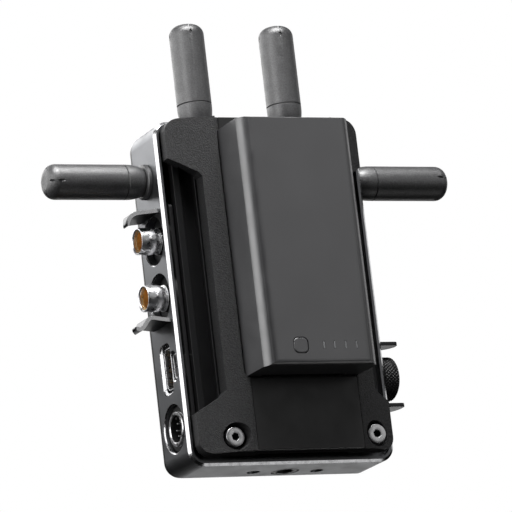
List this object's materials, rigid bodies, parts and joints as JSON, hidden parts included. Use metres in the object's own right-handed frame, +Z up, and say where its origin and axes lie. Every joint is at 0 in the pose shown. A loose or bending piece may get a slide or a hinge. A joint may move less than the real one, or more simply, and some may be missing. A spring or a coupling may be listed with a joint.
{
  "type": "wireless receiver unit",
  "caption": "Hand-sized wireless video receiver: metal frame, ribbed rear cover with a slide-on battery, stub antennas, video and power ports, knurled dial.",
  "frame": {"origin": "mouth of the tripod thread in the base", "axes": "+Z up along the housing, -Y towards the battery side, +X towards the dial side"},
  "size_m": [0.1598, 0.0518, 0.1654],
  "materials": {
    "frame_metal": "fine bead-blasted anodised metal with a polished rear rim",
    "cover_coat": "fine-textured black coat",
    "plate_plastic": "smooth satin black",
    "sink_metal": "black anodised",
    "battery_plastic": "fine matt charcoal",
    "antenna_plastic": "fine-grained satin charcoal",
    "steel": "nickel-plated, bright",
    "gold": "gold-plated",
    "guard_metal": "dark satin metal with bright edges",
    "dial_rubber": "black, knurled",
    "insulator": "pale dielectric",
    "dark_plastic": "black moulded",
    "board": "green laminate",
    "cell_foil": "foil pouch",
    "light_guide": "smoked, unlit",
    "display_face": "glossy black window"
  },
  "bodies": {
    "housing": {"mid_frame": "frame_metal", "rear_cover": "cover_coat", "front_panel": "plate_plastic", "battery_plate": "plate_plastic", "heat_sink": "sink_metal", "port_guard_upper": "guard_metal", "port_guard_lower": "guard_metal", "dial_guard_upper": "guard_metal", "dial_guard_lower": "guard_metal", "antenna_top_left_socket": "guard_metal", "antenna_top_right_socket": "guard_metal", "antenna_side_left_socket": "guard_metal", "antenna_side_right_socket": "guard_metal", "cover_screw_left": "steel", "cover_screw_right": "steel", "tripod_insert": "steel", "dial_encoder": "steel", "video_out_upper_shell": "steel", "video_out_lower_shell": "steel", "hdmi_port_shell": "steel", "usb_port_shell": "steel", "power_port_shell": "steel", "battery_contact_block": "gold", "video_out_upper_contact": "gold", "video_out_lower_contact": "gold", "video_out_upper_insulator": "insulator", "video_out_lower_insulator": "insulator", "port_plate": "dark_plastic", "hdmi_port_tongue": "dark_plastic", "usb_port_tongue": "dark_plastic", "power_port_insert": "dark_plastic", "fan_housing": "dark_plastic", "display_module": "dark_plastic", "main_board": "board", "radio_board": "board", "display_window": "display_face"},
    "battery": {"battery_case": "battery_plastic", "battery_base": "dark_plastic", "battery_cell_rear": "cell_foil", "battery_cell_front": "cell_foil", "battery_board": "board", "charge_light_1": "light_guide", "charge_light_2": "light_guide", "charge_light_3": "light_guide", "charge_light_4": "light_guide"},
    "charge_button": {"battery_button": "battery_plastic"},
    "catch": {"battery_catch": "steel"},
    "dial_shaft": {"dial_shaft": "steel"},
    "dial": {"control_dial": "dial_rubber"},
    "fan": {"fan_rotor": "dark_plastic"},
    "antenna_top_left": {"antenna_top_left_neck": "antenna_plastic", "antenna_top_left_sleeve": "antenna_plastic"},
    "antenna_top_right": {"antenna_top_right_neck": "antenna_plastic", "antenna_top_right_sleeve": "antenna_plastic"},
    "antenna_side_left": {"antenna_side_left_neck": "antenna_plastic", "antenna_side_left_sleeve": "antenna_plastic"},
    "antenna_side_right": {"antenna_side_right_neck": "antenna_plastic", "antenna_side_right_sleeve": "antenna_plastic"}
  },
  "joints": [
    {"name": "battery_slide", "type": "slide", "parent": "housing", "child": "battery", "axis": [0, 0, 1], "range_m": [0, 0.095]},
    {"name": "charge_button_press", "type": "slide", "parent": "battery", "child": "charge_button", "axis": [0, 1, 0], "range_m": [0, 0.0008], "stiffness_N_per_m": 600, "springref_m": -0.001},
    {"name": "battery_catch_press", "type": "slide", "parent": "housing", "child": "catch", "axis": [0, 1, 0], "range_m": [0, 0.0009], "stiffness_N_per_m": 900, "springref_m": -0.001},
    {"name": "dial_press", "type": "slide", "parent": "housing", "child": "dial_shaft", "axis": [-1, 0, 0], "range_m": [0, 0.0004], "stiffness_N_per_m": 1500, "springref_m": -0.001},
    {"name": "dial_turn", "type": "hinge", "parent": "dial_shaft", "child": "dial", "pos_m": [0.0379, -0.0034, 0.0323], "axis": [1, 0, 0], "continuous": true},
    {"name": "fan_spin", "type": "hinge", "parent": "housing", "child": "fan", "pos_m": [-0.002, -0.0135, 0.062], "axis": [0, -1, 0], "continuous": true},
    {"name": "antenna_top_left_turn", "type": "hinge", "parent": "housing", "child": "antenna_top_left", "pos_m": [-0.0206, -0.0027, 0.126], "axis": [0, 0, 1], "continuous": true},
    {"name": "antenna_top_right_turn", "type": "hinge", "parent": "housing", "child": "antenna_top_right", "pos_m": [0.0154, -0.0027, 0.126], "axis": [0, 0, 1], "continuous": true},
    {"name": "antenna_side_left_turn", "type": "hinge", "parent": "housing", "child": "antenna_side_left", "pos_m": [-0.0431, -0.0027, 0.1063], "axis": [-1, 0, 0], "continuous": true},
    {"name": "antenna_side_right_turn", "type": "hinge", "parent": "housing", "child": "antenna_side_right", "pos_m": [0.0379, -0.0027, 0.1063], "axis": [1, 0, 0], "continuous": true}
  ]
}
